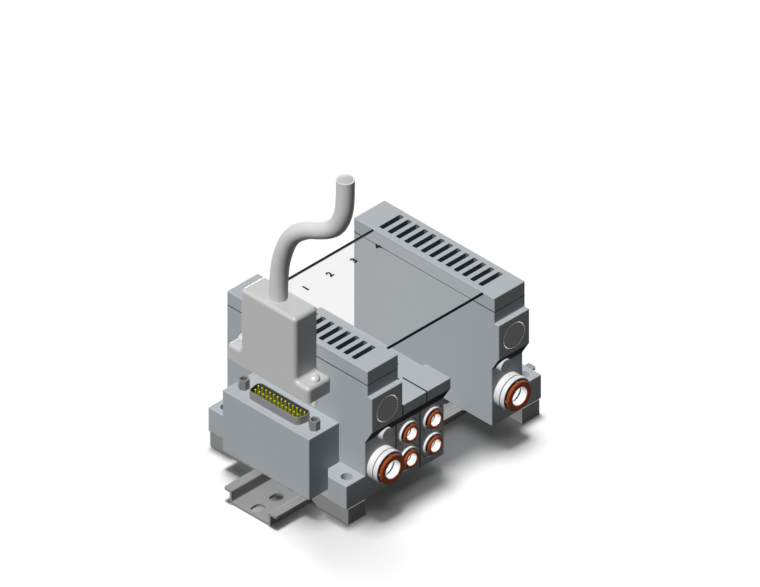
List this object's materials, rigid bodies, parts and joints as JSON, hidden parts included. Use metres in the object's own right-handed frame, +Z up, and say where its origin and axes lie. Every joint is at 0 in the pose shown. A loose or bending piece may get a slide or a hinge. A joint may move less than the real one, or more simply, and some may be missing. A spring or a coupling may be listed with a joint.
{
  "type": "pneumatic valve island",
  "caption": "Rail-mounted pneumatic valve island base with vented end blocks, fitted stations, push-in tube ports and a multi-pin socket with its cable plug drawn off.",
  "frame": {"origin": "middle of the rail's underside, halfway between its end slots", "axes": "+X across the rail towards the tube ports, +Y along the rail away from the cable plug, +Z up"},
  "size_m": [0.1005, 0.173, 0.1983],
  "materials": {
    "body_grey": "fine moulded, matt blue-grey",
    "hood_grey": "satin neutral grey",
    "rail_steel": "zinc-plated strip",
    "grip_steel": "bead-blasted steel",
    "screw_steel": "plated",
    "port_silver": "turned, nickel-plated",
    "ring_brown": "satin red-brown",
    "collet_steel": "bright",
    "seal_rubber": "black",
    "plug_grey": "matt",
    "silencer_dark": "porous",
    "contact_gold": "plated",
    "shell_steel": "tin-plated sheet",
    "insulator_dark": "moulded",
    "insulator_light": "moulded",
    "board_green": "solder mask",
    "socket_dark": "moulded",
    "cover_clear": "clear sheet",
    "rod_black": "black",
    "cable_grey": "smooth sheath"
  },
  "bodies": {
    "base": {"din_rail": "rail_steel", "front_end_block": "body_grey", "front_vent_cap": "body_grey", "front_silencer": "silencer_dark", "front_exhaust_plug": "body_grey", "front_pilot_plug": "plug_grey", "front_rail_hook": "grip_steel", "front_supply_fitting": "port_silver", "rear_end_block": "body_grey", "rear_vent_cap": "body_grey", "rear_silencer": "silencer_dark", "rear_exhaust_plug": "body_grey", "rear_pilot_plug": "plug_grey", "rear_rail_hook": "grip_steel", "rear_supply_fitting": "port_silver", "clamp_nuts": "screw_steel", "hook_screws": "screw_steel", "station_block_1": "body_grey", "station_block_2": "body_grey", "valve_socket_1": "socket_dark", "valve_socket_2": "socket_dark", "port_bushes": "body_grey", "block_gaskets": "seal_rubber", "tie_rods": "screw_steel", "tie_rod_nuts": "screw_steel", "tube_collets": "collet_steel", "tube_seals": "seal_rubber", "connector_housing": "body_grey", "connector_shell": "shell_steel", "connector_insulator": "insulator_dark", "connector_pins": "contact_gold", "jack_sockets": "screw_steel", "relay_board": "board_green", "station_cover": "cover_clear", "cover_rods": "rod_black", "port_b1_fitting": "port_silver", "port_a1_fitting": "port_silver", "port_b2_fitting": "port_silver", "port_a2_fitting": "port_silver"},
    "plug": {"plug_hood": "hood_grey", "plug_shell": "shell_steel", "plug_insulator": "insulator_light", "plug_cable": "cable_grey"},
    "screw_left": {"plug_screw_left": "screw_steel"},
    "screw_right": {"plug_screw_right": "screw_steel"},
    "ring_b1": {"port_b1_release_ring": "ring_brown"},
    "ring_a1": {"port_a1_release_ring": "ring_brown"},
    "ring_b2": {"port_b2_release_ring": "ring_brown"},
    "ring_a2": {"port_a2_release_ring": "ring_brown"},
    "ring_front": {"front_supply_release_ring": "ring_brown"},
    "ring_rear": {"rear_supply_release_ring": "ring_brown"},
    "front_jaw": {"front_clamp_jaw": "grip_steel"},
    "front_screw": {"front_clamp_screw": "screw_steel"},
    "rear_jaw": {"rear_clamp_jaw": "grip_steel"},
    "rear_screw": {"rear_clamp_screw": "screw_steel"}
  },
  "joints": [
    {"name": "plug_slide", "type": "slide", "parent": "base", "child": "plug", "axis": [0, 0, 1], "range_m": [-0.014, 0]},
    {"name": "plug_screw_left_turn", "type": "hinge", "parent": "plug", "child": "screw_left", "pos_m": [-0.03072, -0.05985, 0.07], "axis": [0, 0, 1], "continuous": true},
    {"name": "plug_screw_right_turn", "type": "hinge", "parent": "plug", "child": "screw_right", "pos_m": [0.01632, -0.05985, 0.07], "axis": [0, 0, 1], "continuous": true},
    {"name": "ring_b1_push", "type": "slide", "parent": "base", "child": "ring_b1", "axis": [-1, 0, 0], "range_m": [0, 0.0012], "stiffness_N_per_m": 300},
    {"name": "ring_a1_push", "type": "slide", "parent": "base", "child": "ring_a1", "axis": [-1, 0, 0], "range_m": [0, 0.0012], "stiffness_N_per_m": 300},
    {"name": "ring_b2_push", "type": "slide", "parent": "base", "child": "ring_b2", "axis": [-1, 0, 0], "range_m": [0, 0.0012], "stiffness_N_per_m": 300},
    {"name": "ring_a2_push", "type": "slide", "parent": "base", "child": "ring_a2", "axis": [-1, 0, 0], "range_m": [0, 0.0012], "stiffness_N_per_m": 300},
    {"name": "ring_front_push", "type": "slide", "parent": "base", "child": "ring_front", "axis": [-1, 0, 0], "range_m": [0, 0.0015], "stiffness_N_per_m": 400},
    {"name": "ring_rear_push", "type": "slide", "parent": "base", "child": "ring_rear", "axis": [-1, 0, 0], "range_m": [0, 0.0015], "stiffness_N_per_m": 400},
    {"name": "front_jaw_slide", "type": "slide", "parent": "base", "child": "front_jaw", "axis": [1, 0, 0], "range_m": [0, 0.004]},
    {"name": "front_clamp_screw_turn", "type": "hinge", "parent": "base", "child": "front_screw", "pos_m": [0.0326, -0.0547, 0.01], "axis": [0, 0, 1], "continuous": true},
    {"name": "rear_jaw_slide", "type": "slide", "parent": "base", "child": "rear_jaw", "axis": [1, 0, 0], "range_m": [0, 0.004]},
    {"name": "rear_clamp_screw_turn", "type": "hinge", "parent": "base", "child": "rear_screw", "pos_m": [0.0326, 0.0627, 0.01], "axis": [0, 0, 1], "continuous": true}
  ]
}
